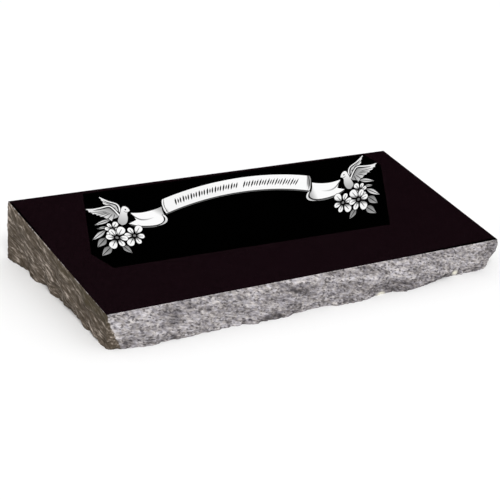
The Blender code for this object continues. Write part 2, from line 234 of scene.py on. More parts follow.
# How much further out than drawn the fold lies at the left end, and how far out and up in the tail
# this still shows.
LEFT_FOLD_SHIFT = 9.0
FOLD_SHIFT_REACH = 40.0
FOLD_SHIFT_TOP = 2.0
DOVE_BODY = (
    ((78.0, 30.5), (80.0, 39.0), (85.0, 44.5), (91.0, 44.0), (96.5, 36.5), (102.5, 26.0),
     (109.5, 15.5), (114.5, 5.0), (109.0, -4.5)),
    ((109.0, -4.5), (100.5, -3.5), (93.5, 3.0), (89.0, 12.5), (87.5, 21.5), (84.5, 27.5)),
    ((84.5, 27.5), (78.0, 30.5)),
)
DOVE_EYE = ((86.5, 35.5), 1.7)
DOVE_THROAT = ((83.0, 28.5), (88.0, 29.5), (91.5, 33.0))
DOVE_BODY_SHADE = ((86.0, 36.0), (112.0, 2.0), 0.95, 0.70)
DOVE_THROAT_TONES = (0.40, 0.70)
# Each wing is its smooth leading edge, then the tips of its feathers, then how deep they are cut.
NEAR_WING = (
    ((103.5, 24.0), (108.0, 38.0), (113.5, 49.5), (121.5, 53.5), (138.0, 52.0), (154.0, 51.5),
     (168.5, 54.0)),
    ((168.5, 54.0), (165.0, 43.5), (158.5, 36.5), (151.5, 31.5), (145.0, 26.5), (136.0, 19.5),
     (126.5, 10.5), (110.5, 18.0)),
    2.8,
)
FAR_WING = (
    ((99.0, 30.0), (96.5, 40.0), (97.0, 51.0), (102.0, 58.0), (113.0, 65.5), (121.0, 73.5),
     (128.7, 82.0)),
    ((128.7, 82.0), (128.0, 71.0), (127.5, 60.0), (123.5, 54.0), (116.0, 50.0), (108.0, 38.0)),
    1.8,
)
NEAR_WING_TONES = (0.50, 0.93)
FAR_WING_TONES = (0.76, 0.90)
FEATHER_STEP = 0.25
FEATHER_LINE_REACH = 0.62
WING_RIM = 3.0
WING_RIM_TONES = (0.98, 0.92)
WING_SHADOW = 1.7
# Tail feathers and leaves: foot, tip and half width.
TAIL_FEATHERS = (((127.0, 15.5), (169.0, 6.5), 4.6), ((143.0, -2.5), (168.0, -4.5), 2.8),
                 ((150.0, -11.0), (190.5, -31.5), 5.4))
TAIL_FEATHER_TONES = (0.68, 0.95)
LEAVES = (((130.0, -56.0), (114.5, -80.0), 8.0), ((154.0, -54.5), (189.5, -75.5), 8.5),
          ((157.0, -31.0), (188.5, -51.5), 8.5))
LEAF_TONES = (0.45, 0.68)
LEAF_WIDEST = 0.42
# Blossoms: middle, length of a petal, and turn. Angles are in radians. They are longer along one
# axis.
BLOSSOMS = (((134.0, -11.0), 19.0, 0.25), ((91.2, -37.0), 26.0, 0.25), ((133.2, -35.0), 28.0, 0.25))
BLOSSOM_AXIS = 2.34
BLOSSOM_STRETCH = 0.22
PETALS = 6
PETAL_STEPS = 18
PETAL_FOOT = 0.24
PETAL_HALF_WIDTH = 0.27
PETAL_WIDEST = 0.60
PETAL_TAPER = 0.35
PETAL_TONES = (0.50, 0.97)
# Where a petal's line starts, bends and ends, as shares of its length. The shade ends at the bend.
PETAL_LINE = (0.24, 0.52, 0.84)
BLOSSOM_SHADOW = 1.5
BLOSSOM_HEART = 0.13
HEART_TONES = (0.50, 0.35)

# Dark lines and outlines are left standing, as half widths in drawing units.
OUTLINE = 1.3
FINE_LINE = 0.75
BOLD_LINE = 1.1

# The polished stone. Its crystals are a little lighter and darker than its colour.
POLISHED_COLOUR = (0.0064, 0.0026, 0.0039)
PANEL_COLOUR = (0.0002, 0.0002, 0.0002)
POLISH_ROUGHNESS = 0.12
POLISH_CRYSTAL_SIZE = (0.0024, 0.0024, 0.0024)
POLISH_DARKER = 0.7
POLISH_LIGHTER = 1.35
POLISH_DARK_STOP = 0.15
POLISH_LIGHT_STOP = 0.9

# The rock-pitched stone: fresh on the long sides, and a brown skin on the ends, which is also
# painted darker as painted shade. Sizes are in metres along each axis, and turns in degrees. A noise
# is its detail and its roughness, and a stop is a place on the ramp and its colour.
NO_TURN = (0.0, 0.0, 0.0)
FLECK_NOISE = (2.0, 0.6)
SOFT_NOISE = (2.0, 0.5)
PLAIN_NOISE = (1.0, 0.5)
FLECK_SIZE = (0.0100, 0.0100, 0.0031)
FLECK_TURN = (0.0, 14.0, 0.0)
PATCH_SIZE = (0.052, 0.052, 0.017)
PATCH_TURN = (0.0, 8.0, 0.0)
CRYSTAL_SIZE = (0.0046, 0.0046, 0.0028)
SPECK_SHARE = 0.24
SPECK_DEPTH = 0.55
SKIN_FLECK_SIZE = (0.0066, 0.0265, 0.0043)
SKIN_FLECK_TURN = (17.0, 0.0, 0.0)
ROCK_ROUGHNESS = 0.85
ROCK_SPECULAR = 0.15
FRESH_DARKEST = (0.047, 0.042, 0.0435)
FRESH_DARK = (0.115, 0.104, 0.107)
FRESH_MIDDLE = (0.290, 0.2695, 0.274)
FRESH_LIGHT = (0.612, 0.581, 0.586)
FRESH_STOPS = (
    (0.30, FRESH_DARKEST), (0.40, FRESH_DARK), (0.50, FRESH_MIDDLE), (0.62, FRESH_LIGHT),
)
# How much the relief, the flecks, the patches and the crystals count in the fresh stone. The relief
# paints shade into hollows and highlight onto ridges.
FRESH_WEIGHTS = (0.23, 0.38, 0.31, 0.08)
TINT_SIZE = (0.0090, 0.0090, 0.0055)
FRESH_COOL = (0.945, 0.955, 1.0)
FRESH_WARM = (1.0, 0.988, 0.955)
TINT_STOPS = ((0.38, FRESH_COOL), (0.62, FRESH_WARM))
# The ends' colours: a brown skin, painted darker than the fresh stone as painted shade.
SHADED_SKIN_DARK = (0.043, 0.0325, 0.0215)
SHADED_SKIN_MIDDLE = (0.085, 0.0665, 0.0495)
SHADED_SKIN_LIGHT = (0.138, 0.112, 0.089)
SHADED_SKIN_LIGHTEST = (0.42, 0.36, 0.31)
SHADED_SKIN_STOPS = (
    (0.34, SHADED_SKIN_DARK), (0.47, SHADED_SKIN_MIDDLE), (0.55, SHADED_SKIN_LIGHT), (0.66, SHADED_SKIN_LIGHTEST),
)
# How much the relief, the flecks and the patches count in the skin. The relief paints shade into
# hollows and highlight onto ridges.
SKIN_WEIGHTS = (0.12, 0.76, 0.12)
SKIN_DULL = (0.057, 0.0450, 0.0265)
CHIP_COLOUR = (0.82, 0.79, 0.68)
# Painted highlight: pale dashes along the arris, as if its edge caught the light.
ARRIS_HIGHLIGHT_SIZE = (0.0065, 0.0065, 0.0065)
ARRIS_HIGHLIGHT_STOPS = ((0.48, (0.0, 0.0, 0.0)), (0.60, (0.8, 0.8, 0.8)))
ARRIS_HIGHLIGHT_POWER = 2.0
# The bump of the grain and of the flecks, and how much each counts.
BUMP_GRAIN_SIZE = (0.0022, 0.0022, 0.0016)
BUMP_WEIGHTS = (0.4, 0.6)
BUMP_DISTANCE = 0.0014

# The etched stone. Tones are as shown on a screen, and the power makes them linear.
ETCHED_ROUGHNESS = 0.75
ETCHED_POWER = 2.2
ETCHED_WHITE = 0.86

# The black panel round the picture, on the polished face, in metres along X and up the slope, and
# the blacker strips along two of its edges, which stay a little inside them.
PANEL = ((-0.3055, 0.182), (0.397, 0.1865), (0.4056, 0.136), (0.2575, -0.080), (-0.3738, -0.066),
         (-0.392, -0.014))
STRIPS = (
    ((-0.4567, 0.183), (-0.4567, 0.040), (-0.4532, 0.060), (-0.4526, 0.183)),
    ((0.180, -0.1912), (0.4567, -0.1912), (0.4567, -0.1850), (0.270, -0.1870)),
)

# How near the polished plane a corner of the solid has to lie, and when two points of the underside
# are one, in metres. A metre has this many millimetres.
PLANE_TOLERANCE = 1e-5
UNDERSIDE_MERGE = 1e-9
MILLIMETRES = 1000

Layer = namedtuple("Layer", "outline shade")


# The frame


def along(stations, place):
    """The value at a place, eased between the stations either side of it."""
    for (start, low), (end, high) in zip(stations, stations[1:]):
        if place <= end:
            share = max(0.0, (place - start) / (end - start))
            share = share * share * (3 - 2 * share)
            return low + (high - low) * share
    return stations[-1][1]


def block_sizes():
    """The polished face's width and depth, and its heights at the back and at the front."""
    mount = next(m for m in frame["record"]["mounts"] if m["name"] == "polished_face")
    point, normal = Vector(mount["pos_m"]), Vector(mount["axis"])
    corners = [v.co for v in frame["nodes"]["granite_marker"].data.vertices]
    corners = [co for co in corners if abs((co - point).dot(normal)) < PLANE_TOLERANCE]
    spans = [(min(co[axis] for co in corners), max(co[axis] for co in corners)) for axis in range(3)]
    return spans[0][1] - spans[0][0], spans[1][1] - spans[1][0], spans[2][1], spans[2][0]


WIDTH, DEPTH, BACK_HEIGHT, FRONT_HEIGHT = block_sizes()
SLOPE = math.atan2(BACK_HEIGHT - FRONT_HEIGHT, DEPTH)


def face_height(y):
    """The height of the polished face above the underside at y."""
    return FRONT_HEIGHT + (BACK_HEIGHT - FRONT_HEIGHT) * (y / DEPTH + 0.5)


def from_face(point, depth=0.0):
    """A point of the polished face's own plane, sunk by a depth, in the block's frame."""
    x, up_slope = point
    y = up_slope * math.cos(SLOPE)
    sunk = Vector((0.0, math.sin(SLOPE), -math.cos(SLOPE))) * depth
    return Vector((x, y, face_height(y))) + sunk


# The rock-pitched sides


def scoop(point, spacing):
    """0 on the ridge between two scoops, 1 in the middle of one."""
    place = Vector([value / step for value, step in zip(point, spacing)])
    nearest = noise.voronoi(place)[0][0]
    return max(0.0, 1.0 - SCOOP_STEEPNESS * nearest**2)


def broken_surface(point):
    """How far the broken stone stands out at a point of the plain block, as in the solid."""
    rough = ROUGH_HEIGHT * noise.noise(point / ROUGH_SPACING)
    hollows = SCOOP_DEPTH * scoop(point, SCOOP_SPACING) + CHIP_DEPTH * scoop(point, CHIP_SPACING)
    return rough + RIDGE_SHARE * SCOOP_DEPTH - hollows


def small_relief(point):
    """How far flakes, splinters and grain stand out of the broken surface."""
    warped = point + noise.noise_vector(point / WARP_SPACING) * WARP_REACH
    flakes = FLAKE_LEVEL - scoop(warped, FLAKE_SPACING)
    place = Vector([value / step for value, step in zip(warped, SPLINTER_SPACING)])
    splinters = SPLINTER_LEVEL - SPLINTER_STEEPNESS * abs(noise.noise(place))
    grain = noise.noise(point / GRAIN_SPACING)
    return FLAKE_DEPTH * flakes + SPLINTER_HEIGHT * splinters + GRAIN_HEIGHT * grain


def front_shaded_place(point):
    """How far the shaded places on the front lie back at a point of it. Their depth also paints shade
    into the colour.
    """
    found = 0.0
    for (x, z), half_length, half_height, dip, depth in FRONT_SHADED_PLACES:
        turn = math.radians(dip)
        across, up = point.x - x, point.z - z
        run = (across * math.cos(turn) - up * math.sin(turn)) / half_length
        rise = (across * math.sin(turn) + up * math.cos(turn)) / half_height
        found += depth * math.exp(-(run * run + rise * rise))
    return found


def chip(point):
    """1 in the middle of a cream chip on the front, 0 away from one."""
    if point.y > 0:
        return 0.0
    shares = [
        math.hypot((point.x - x) / half_length, (point.z - z) / half_height)
        for (x, z), half_length, half_height in FRONT_CHIPS
    ]
    return max(0.0, 1.0 - min(shares) ** 2)


def shaded_skin(point):
    """1 where the brown skin of the ends and its painted shade show, 0 on the fresh stone between them.
    """
    down = 1.0 - point.z / face_height(point.y)
    from_end = WIDTH / 2 - abs(point.x)
    waver = SKIN_WAVER * noise.noise(point / SKIN_WAVER_SPACING) * min(1.0, SKIN_WAVER_RISE * down)
    if point.x > 0:
        past_corner = point.y > SKIN_WEDGE - DEPTH / 2 + waver
        return 1.0 if from_end < END_TOLERANCE and past_corner else 0.0
    return 1.0 if from_end < SKIN_WEDGE * down + waver + SKIN_START else 0.0


def dull(point):
    """How far a duller brown covers the skin, in a ragged band under the left end's face."""
    if point.x > 0:
        return 0.0
    below = face_height(point.y) - point.z
    waver = DULL_WAVER * noise.noise(point / DULL_WAVER_SPACING)
    front_share = min(1.0, max(0.0, (DULL_END - point.y) / DULL_FADE))
    shown = min(1.0, max(0.0, (DULL_REACH - below) / DULL_FOOT_FADE + waver))
    return DULL_COVER * front_share * shown


def toe(swell, reach, share, down):
    """How far the foot of the front or back draws the stone out, part way down."""
    return along(swell, share) * reach * down**TOE_POWER


def belly(down):
    """The swelling of the front and back between the face's edge and the foot."""
    return BELLY * math.sin(math.pi * down**BELLY_POWER)


def undercut(right, share, down):
    """How far the foot of an end is broken back, part way down. The right one breaks off lower."""
    if right:
        return along(RIGHT_UNDERCUT, share) * along(RIGHT_BREAK, down)
    return along(LEFT_UNDERCUT, share) * down**UNDERCUT_POWER


def lip(right, corner, down):
    """The slight lip of an end under the face. The left one has none at its upright corners."""
    reach, share = (RIGHT_LIP, RIGHT_LIP_SHARE) if right else (LEFT_LIP, LEFT_LIP_SHARE)
    calm = 0.0 if right else corner
    return reach * math.sin(math.pi * min(1.0, down / share)) * (1.0 - calm)


def rock_point(point):
    """Where a point of the block's plain sides comes to lie, and how high its relief is there."""
    height = face_height(point.y)
    down = max(0.0, 1.0 - point.z / height)
    right = point.x > 0
    back = point.y > 0
    end_share = math.exp((abs(point.x) - WIDTH / 2) / CORNER_REACH)
    long_share = math.exp((abs(point.y) - DEPTH / 2) / CORNER_REACH)
    corner = end_share * long_share

    out_x = (lip(right, corner, down) - undercut(right, point.y / DEPTH, down)) * end_share
    swell, reach = (BACK_SWELL, BACK_TOE) if back else (FRONT_SWELL, FRONT_TOE)
    out_y = toe(swell, reach, point.x / WIDTH, down) + belly(down) * (1.0 - corner)
    out_y *= long_share
    leant = Vector((out_x if right else -out_x, out_y if back else -out_y, 0.0))

    outward = (math.copysign(end_share**2, point.x), math.copysign(long_share**2, point.y), 0.0)
    fade = min(1.0, down * height / ARRIS_FADE) * (1.0 - CORNER_CALM * corner)
    bite = BITE_DEPTH * max(0.0, noise.noise(point / BITE_SPACING)) * down**BITE_POWER
    small = small_relief(point) - bite
    if not back:
        small -= front_shaded_place(point) * long_share**2
    small *= min(1.0, down * height / FINE_FADE)
    stands_out = Vector(outward).normalized() * (broken_surface(point) * fade + small)
    return point + leant + stands_out, small


def plan_ring():
    """Places round the polished face's plan, from the front left corner along the front."""
    half_x, half_y = WIDTH / 2, DEPTH / 2
    corners = [(-half_x, -half_y), (half_x, -half_y), (half_x, half_y), (-half_x, half_y)]
    found = []
    for start, end in zip(corners, corners[1:] + corners[:1]):
        start, end = Vector(start), Vector(end)
        count = round((end - start).length / COLUMN_WIDTH)
        found += [start.lerp(end, n / count) for n in range(count)]
    return found


def side_grid():
    """The points of the sides, a row at a time from the face's edge down, and their shades."""
    points = []
    shades = {"relief_shade": [], "shaded_skin": [], "dull": [], "chip": [], "edge": []}
    ring = plan_ring()
    for row in range(SIDE_ROWS + 1):
        up = 1.0 - row / SIDE_ROWS
        for place in ring:
            start = Vector((place.x, place.y, up * face_height(place.y)))
            found, small = rock_point(start)
            points.append(found)
            # The relief's height is kept to paint shade into the hollows and highlight onto the ridges.
            shades["relief_shade"].append(0.5 + small / RELIEF_SHADE_RANGE)
            shades["shaded_skin"].append(shaded_skin(start))
            shades["dull"].append(dull(start))
            shades["chip"].append(chip(start))
            # The top row carries the arris's painted highlight.
            shades["edge"].append(1.0 if row == 0 else 0.0)
    return points, shades, len(ring)


def side_faces(around):
    """Quads between the rows of the sides, facing out."""
    found = []
    for row in range(SIDE_ROWS):
        for place in range(around):
            after = (place + 1) % around
            upper, lower = row * around, (row + 1) * around
            found.append((upper + place, lower + place, lower + after, upper + after))
    return found


# The picture's outlines, in drawing units


def smooth_run(points):
    """Points along a smooth open curve through the given points, without the last one."""
    ends = [points[0], *points, points[-1]]
    found = []
    for before, start, end, after in zip(ends, ends[1:], ends[2:], ends[3:]):
        for step in range(CURVE_STEPS):
            t = step / CURVE_STEPS
            found.append(tuple(
                0.5 * (2 * b + (c - a) * t + (2 * a - 5 * b + 4 * c - d) * t**2
                       + (3 * b - a - 3 * c + d) * t**3)
                for a, b, c, d in zip(before, start, end, after)
            ))
    return found


def outline(runs):
    """A closed outline of smooth runs that meet at corners."""
    return [point for run in runs for point in smooth_run(run)]


def normals(points, closed):
    """The unit normals to the right of a run of points, at each point."""
    count = len(points)
    found = []
    for place in range(count):
        before = points[(place - 1) % count if closed else max(0, place - 1)]
        after = points[(place + 1) % count if closed else min(count - 1, place + 1)]
        run = Vector(after) - Vector(before)
        found.append(Vector((run.y, -run.x)).normalized())
    return found


def turns_left(points):
    """Whether a closed outline runs counter-clockwise."""
    return sum(a[0] * b[1] - b[0] * a[1] for a, b in zip(points, points[1:] + points[:1])) > 0


def grown(points, reach):
    """A closed outline moved outward all round."""
    side = reach if turns_left(points) else -reach
    return [tuple(Vector(p) + n * side) for p, n in zip(points, normals(points, True))]


def stroke(points, half_width):
    """A line's outline, pointed at both ends and fullest in the middle."""
    run = [*smooth_run(points), points[-1]]
    sides = normals(run, False)
    right, left = [], []
    for place in range(1, len(run) - 1):
        reach = half_width * math.sin(math.pi * place / (len(run) - 1)) ** 0.5
        right.append(tuple(Vector(run[place]) + sides[place] * reach))
        left.append(tuple(Vector(run[place]) - sides[place] * reach))
    return [run[0], *right, run[-1], *left[::-1]]


def halfway(start, end):
    return tuple(Vector(start).lerp(Vector(end), 0.5))


def across_band():
    """Places along the band, from its left end to its right end."""
    return [BAND_HALF_WIDTH * (2 * n / BAND_POINTS - 1) for n in range(BAND_POINTS + 1)]


def band_foot(x):
    return BAND_END_FOOT + BAND_RISE * (1.0 - (x / BAND_HALF_WIDTH) ** 2)


def band():
    """The arched middle of the banner, with slightly bowed ends."""
    foot = [(x, band_foot(x)) for x in across_band()]
    top = [(x, y + BAND_HEIGHT) for x, y in foot]
    bow = []
    for share in BAND_BOW_PLACES:
        out = BAND_BOW * math.sin(math.pi * share) ** 0.5
        bow.append((BAND_HALF_WIDTH + out, BAND_END_FOOT + BAND_HEIGHT * share))
    return foot + bow + top[::-1] + [(-x, y) for x, y in bow[::-1]]


def mark(middle, height, width, slant):
    """One slanted stroke, pointed at both ends."""
    half, reach = width / 2, height / 2
    side = [(1, -MARK_SHOULDER), (1, MARK_SHOULDER), (0, 1)]
    shape = side + [(-x, -y) for x, y in side]
    return [(middle[0] + x * half + y * reach * slant, middle[1] + y * reach) for x, y in shape]


def marks():
    """A row of strokes that follows the band, three to a place, in two groups."""
    count = sum(MARK_GROUPS)
    pitch = (2 * BAND_HALF_WIDTH - MARK_LEFT_GAP - MARK_RIGHT_GAP) / (count + MARK_GROUP_GAP)
    found = []
    for place in [n + MARK_GROUP_GAP * (n >= MARK_GROUPS[0]) for n in range(count)]:
        for share, height, width in MARK_STROKES:
            x = MARK_LEFT_GAP - BAND_HALF_WIDTH + pitch * (place + share)
            y = band_foot(x) + BAND_HEIGHT / 2
            slant = MARK_SLANT + 2 * BAND_RISE * x / BAND_HALF_WIDTH**2
            found.append(mark((x, y), height, width, slant))
    return found


def petal(centre, length, turn):
    """A long oval petal, pointed at its foot and round at its tip."""
    foot = PETAL_FOOT * length
    out = Vector((math.cos(turn), math.sin(turn)))
    side = Vector((-out.y, out.x))
    found = []
    for n in range(PETAL_STEPS):
        angle = 2 * math.pi * n / PETAL_STEPS
        share = 0.5 - 0.5 * math.cos(angle)
        bulge = math.sin(angle) * (share / PETAL_WIDEST) ** PETAL_TAPER
        place = Vector(centre) + out * (foot + (length - foot) * share)
        found.append(tuple(place + side * bulge * PETAL_HALF_WIDTH * length))
    return found


def disc(centre, radius, count):
    turns = [2 * math.pi * n / count for n in range(count)]
    return [(centre[0] + radius * math.cos(a), centre[1] + radius * math.sin(a)) for a in turns]


def leaf(foot, tip, half_width):
    """A pointed leaf or feather, widest a little nearer its foot."""
    run = Vector(tip) - Vector(foot)
    side = Vector((-run.y, run.x)).normalized() * half_width
    middle = Vector(foot) + run * LEAF_WIDEST
    return outline([(foot, tuple(middle + side), tip), (tip, tuple(middle - side), foot)])


def wing(leading_edge, tips, cut):
    """A smooth leading edge, then an edge that steps from feather tip to feather tip."""
    found = outline([leading_edge])
    for tip, after in zip(tips, tips[1:]):
        run = Vector(after) - Vector(tip)
        inward = Vector((run.y, -run.x)).normalized() * cut
        found += [tip, tuple(Vector(tip) + run * FEATHER_STEP + inward)]
    return [*found, tips[-1]]


# The picture's layers, from the lowest up. A shade of None is left standing, polished and dark.
# Any other shade is etched: it runs from one point's tone to another's.


def standing(shape):
    return Layer(shape, None)


def etched(shape, start, end, first, last):
    return Layer(shape, (start, end, first, last))


def edged(shape, start, end, first, last):
    """An etched shape with a dark outline round it."""
    return [standing(grown(shape, OUTLINE)), etched(shape, start, end, first, last)]


def banner_tail(shift):
    """The fold and the tail, with the fold and what it touches moved out by a shift."""
    curl = stroke(TAIL_CURL, TAIL_CURL_HALF_WIDTH)
    fold = [(x + shift, y) for x, y in outline(FOLD)]
    tail = [
        (x + shift * max(0.0, 1.0 - x / FOLD_SHIFT_REACH) * (y < FOLD_SHIFT_TOP), y)
        for x, y in outline(TAIL)
    ]
    lower = [(x, y - FOOT_SHADE_REACH / 2) for x, y in TAIL[3][:-2]]
    start, end = ((x + shift, y) for x, y in (FOLD_SHADE_START, FOLD_SHADE_END))
    return [
        etched(stroke(lower, FOOT_SHADE_REACH), lower[0], lower[-1], *FOOT_SHADE_TONES),
        *edged(tail, *TAIL_SHADE),
        etched(curl, TAIL_CURL[1], TAIL_CURL[-1], *TAIL_CURL_TONES),
        *edged(fold, start, end, *FOLD_TONES),
    ]


def wing_layers(shape, tones):
    """A wing with a pale rim, a dark line under it and a line between each two feathers."""
    leading_edge, tips, cut = shape
    root, bend = leading_edge[0], leading_edge[2]
    run = [*smooth_run(leading_edge), leading_edge[-1]]
    sides = normals(run, False)
    rim_foot = [tuple(Vector(p) + n * WING_RIM) for p, n in zip(run, sides)]
    under = [tuple(Vector(p) + n * (WING_RIM + WING_SHADOW)) for p, n in zip(run, sides)]
    found = [standing(stroke(leading_edge, 2 * OUTLINE))]
    found.append(etched(wing(leading_edge, tips, cut), bend, tips[3], *tones))
    for tip, after in zip(tips[1:], tips[2:]):
        start = Vector(tip).lerp(Vector(after), FEATHER_STEP)
        end = start.lerp(Vector(halfway(bend, root)), FEATHER_LINE_REACH)
        found.append(standing(stroke((tuple(start), halfway(start, end), tuple(end)), FINE_LINE)))
    found.append(standing(stroke(under[: -CURVE_STEPS : CURVE_STEPS], WING_SHADOW)))
    found.append(etched([*run, *rim_foot[-2::-1]], root, tips[0], *WING_RIM_TONES))
    return found


def veined(shapes, tones):
    """Leaves or feathers, each with a line along its middle."""
    found = []
    for foot, tip, half_width in shapes:
        found += edged(leaf(foot, tip, half_width), foot, tip, *tones)
        found.append(standing(stroke((foot, halfway(foot, tip), tip), FINE_LINE)))
    return found


def dove():
    throat = stroke(DOVE_THROAT, BOLD_LINE)
    return [
        *veined(TAIL_FEATHERS, TAIL_FEATHER_TONES),
        *wing_layers(FAR_WING, FAR_WING_TONES),
        *edged(outline(DOVE_BODY), *DOVE_BODY_SHADE),
        *wing_layers(NEAR_WING, NEAR_WING_TONES),
        etched(throat, DOVE_THROAT[0], DOVE_THROAT[-1], *DOVE_THROAT_TONES),
        standing(disc(*DOVE_EYE, PETAL_STEPS)),
    ]


def blossom(centre, radius, turn):
    found = [standing(disc(centre, radius * PETAL_FOOT * BLOSSOM_SHADOW, PETAL_STEPS))]
    for n in range(PETALS):
        angle = turn + 2 * math.pi * n / PETALS
        length = radius * (1 + BLOSSOM_STRETCH * math.cos(2 * (angle - BLOSSOM_AXIS)))
        out = Vector((math.cos(angle), math.sin(angle))) * length
        foot, mid, tip = (tuple(Vector(centre) + out * share) for share in PETAL_LINE)
        found += edged(petal(centre, length, angle), foot, mid, *PETAL_TONES)
        found.append(standing(stroke((foot, mid, tip), FINE_LINE)))
    found.append(standing(disc(centre, radius * PETAL_FOOT, PETAL_STEPS)))
    heart = disc(centre, BLOSSOM_HEART * radius, PETAL_STEPS)
    heart_foot = (centre[0], centre[1] - radius * BLOSSOM_HEART)
    found.append(etched(heart, centre, heart_foot, *HEART_TONES))
    return found


def end_layers(end):
    """What stands at one end of the band, mirrored for the left end."""
    found = veined(LEAVES, LEAF_TONES)
    found += [*banner_tail(0.0 if end > 0 else LEFT_FOLD_SHIFT), *dove()]
    for flower in BLOSSOMS:
        found += blossom(*flower)

    def place(p):
        return on_face((end * (BAND_HALF_WIDTH + p[0]), p[1]))

    return [placed(layer, place) for layer in found]


def banner_layers():
    """The band with the shade under its foot, its rims and seams, and its row of strokes."""
    foot = [(x, band_foot(x)) for x in across_band()]
    shade = foot + [(x, y - FOOT_SHADE_REACH) for x, y in foot[::-1]]
    found = [etched(shade, shade[0], shade[1], *FOOT_SHADE_TONES)]
    found += edged(band(), *BAND_SHADE)
    for end in (1, -1):
        inner = end * (BAND_HALF_WIDTH - BAND_RIM)
        outer = end * (BAND_HALF_WIDTH + BAND_BOW)
        rim = [(x, y) for x, y in band() if abs(x) > abs(inner) and x * end > 0]
        rim = [(inner, band_foot(inner))] + (rim if end > 0 else rim[::-1])
        rim += [(inner, band_foot(inner) + BAND_HEIGHT)]
        start, stop = (outer, BAND_RIM_SHADE_HEIGHT), (inner, BAND_RIM_SHADE_HEIGHT)
        found.append(etched(rim, start, stop, *BAND_RIM_TONES))
        x = end * (BAND_HALF_WIDTH - BAND_SEAM_INSET)
        foot = (x, band_foot(x))
        top = (x, foot[1] + BAND_HEIGHT)
        bowed = (x + end * BAND_BOW, foot[1] + BAND_HEIGHT / 2)
        found.append(standing(stroke((foot, bowed, top), FINE_LINE)))
    found += [standing(shape) for shape in marks()]
    return [placed(layer, on_face) for layer in found]


def placed(layer, place):
    """A layer with its outline and the ends of its shade on the polished face."""
    if layer.shade is None:
        return Layer([place(p) for p in layer.outline], None)
    start, end, first, last = layer.shade
    return Layer([place(p) for p in layer.outline], (place(start), place(end), first, last))


def frame_corner(margins, side, edge):
    """A corner of the picture's frame, from its margins to an end and a long edge of the face."""
    half_length = math.hypot(DEPTH, BACK_HEIGHT - FRONT_HEIGHT) / 2
    return Vector((side * (WIDTH / 2 - margins[0]), edge * (half_length - margins[1])))


def on_face(point):
    """A point of the drawing in the face's plane, between the four corners of the picture."""
    share = point[0] / (BAND_HALF_WIDTH + END_WIDTH)
    across = (share + PICTURE_STRETCH * (share * share - 1) + 1) / 2
    up = (point[1] / DRAWN_HALF_HEIGHT + 1) / 2
    front_left = frame_corner(FRONT_LEFT_MARGINS, -1, -1)
    front_right = frame_corner(FRONT_RIGHT_MARGINS, 1, -1)
    back_left = frame_corner(BACK_LEFT_MARGINS, -1, 1)
    back_right = frame_corner(BACK_RIGHT_MARGINS, 1, 1)
    front = front_left.lerp(front_right, across)
    return tuple(front.lerp(back_left.lerp(back_right, across), up))


# The polished face as one flat mesh, split along every outline


def tone_at(shade, point):
    """The tone of an etched layer at a point of the face: 0 black, 1 white."""
    start, end, first, last = shade
    run = Vector(end) - Vector(start)
    share = (Vector(point) - Vector(start)).dot(run) / run.length_squared
    share = min(1.0, max(0.0, share))
    return first + (last - first) * share


def inside(point, shape):
    """Whether a point lies in a closed outline."""
    found = False
    for (ax, ay), (bx, by) in zip(shape, shape[1:] + shape[:1]):
        if (ay > point[1]) == (by > point[1]):
            continue
        if point[0] < ax + (bx - ax) * (point[1] - ay) / (by - ay):
            found = not found
    return found


def shade_points(layers, spacing):
    """Loose points inside the etched layers, on one grid, so that their shades can run smoothly."""
    found = set()
    for layer in layers:
        if layer.shade is None:
            continue
        xs, ys = zip(*layer.outline)
        for column in range(math.ceil(min(xs) / spacing), math.floor(max(xs) / spacing) + 1):
            for row in range(math.ceil(min(ys) / spacing), math.floor(max(ys) / spacing) + 1):
                if inside((column * spacing, row * spacing), layer.outline):
                    found.add((column, row))
    return [(column * spacing, row * spacing) for column, row in sorted(found)]


def split_face(ring, layers):
    """Triangles of the polished face, each with the number of its top layer.

    Layer 0 is the whole face. The first points found are those of the ring, in its order.
    """
    points = [Vector(p) * MILLIMETRES for p in ring]
    faces = [list(range(len(ring)))]
    for layer in layers:
        first = len(points)
        points += [Vector(p) * MILLIMETRES for p in layer.outline]
        corners = list(range(first, len(points)))
        faces.append(corners if turns_left(layer.outline) else corners[::-1])
    loose = shade_points(layers, SHADE_POINT_SPACING / MILLIMETRES)
    points += [Vector(p) * MILLIMETRES for p in loose]
    made = geometry.delaunay_2d_cdt(points, [], faces, 1, MERGE_DISTANCE)
    found, triangles, origins, owners = made[0], made[2], made[3], made[5]

    order = {}
    for place, origin in enumerate(origins):
        for source in origin:
            if source < len(ring):
                order[place] = source
    rest = [place for place in range(len(found)) if place not in order]
    order.update({place: len(ring) + number for number, place in enumerate(rest)})
    plane = [Vector(p) for p in ring] + [found[place] / MILLIMETRES for place in rest]
    triangles = [tuple(order[corner] for corner in triangle) for triangle in triangles]
    return plane, triangles, [max(owner) for owner in owners]


# The whole stone


ROCK, POLISHED, PANEL_BLACK, ETCHED = range(4)


class Stone:
    """Points and faces of the stone's mesh, with the material and tones of each face."""

    def __init__(self):
        self.points, self.shades, self.around = side_grid()
        self.faces, self.materials, self.tones = [], [], []

    def add_points(self, found):
        first = len(self.points)
        self.points += found
        for values in self.shades.values():
            values += [0.0] * len(found)
        return first

    def add_face(self, corners, material, tones=None):
        self.faces.append(corners)
        self.materials.append(material)
        self.tones += tones or [1.0] * len(corners)


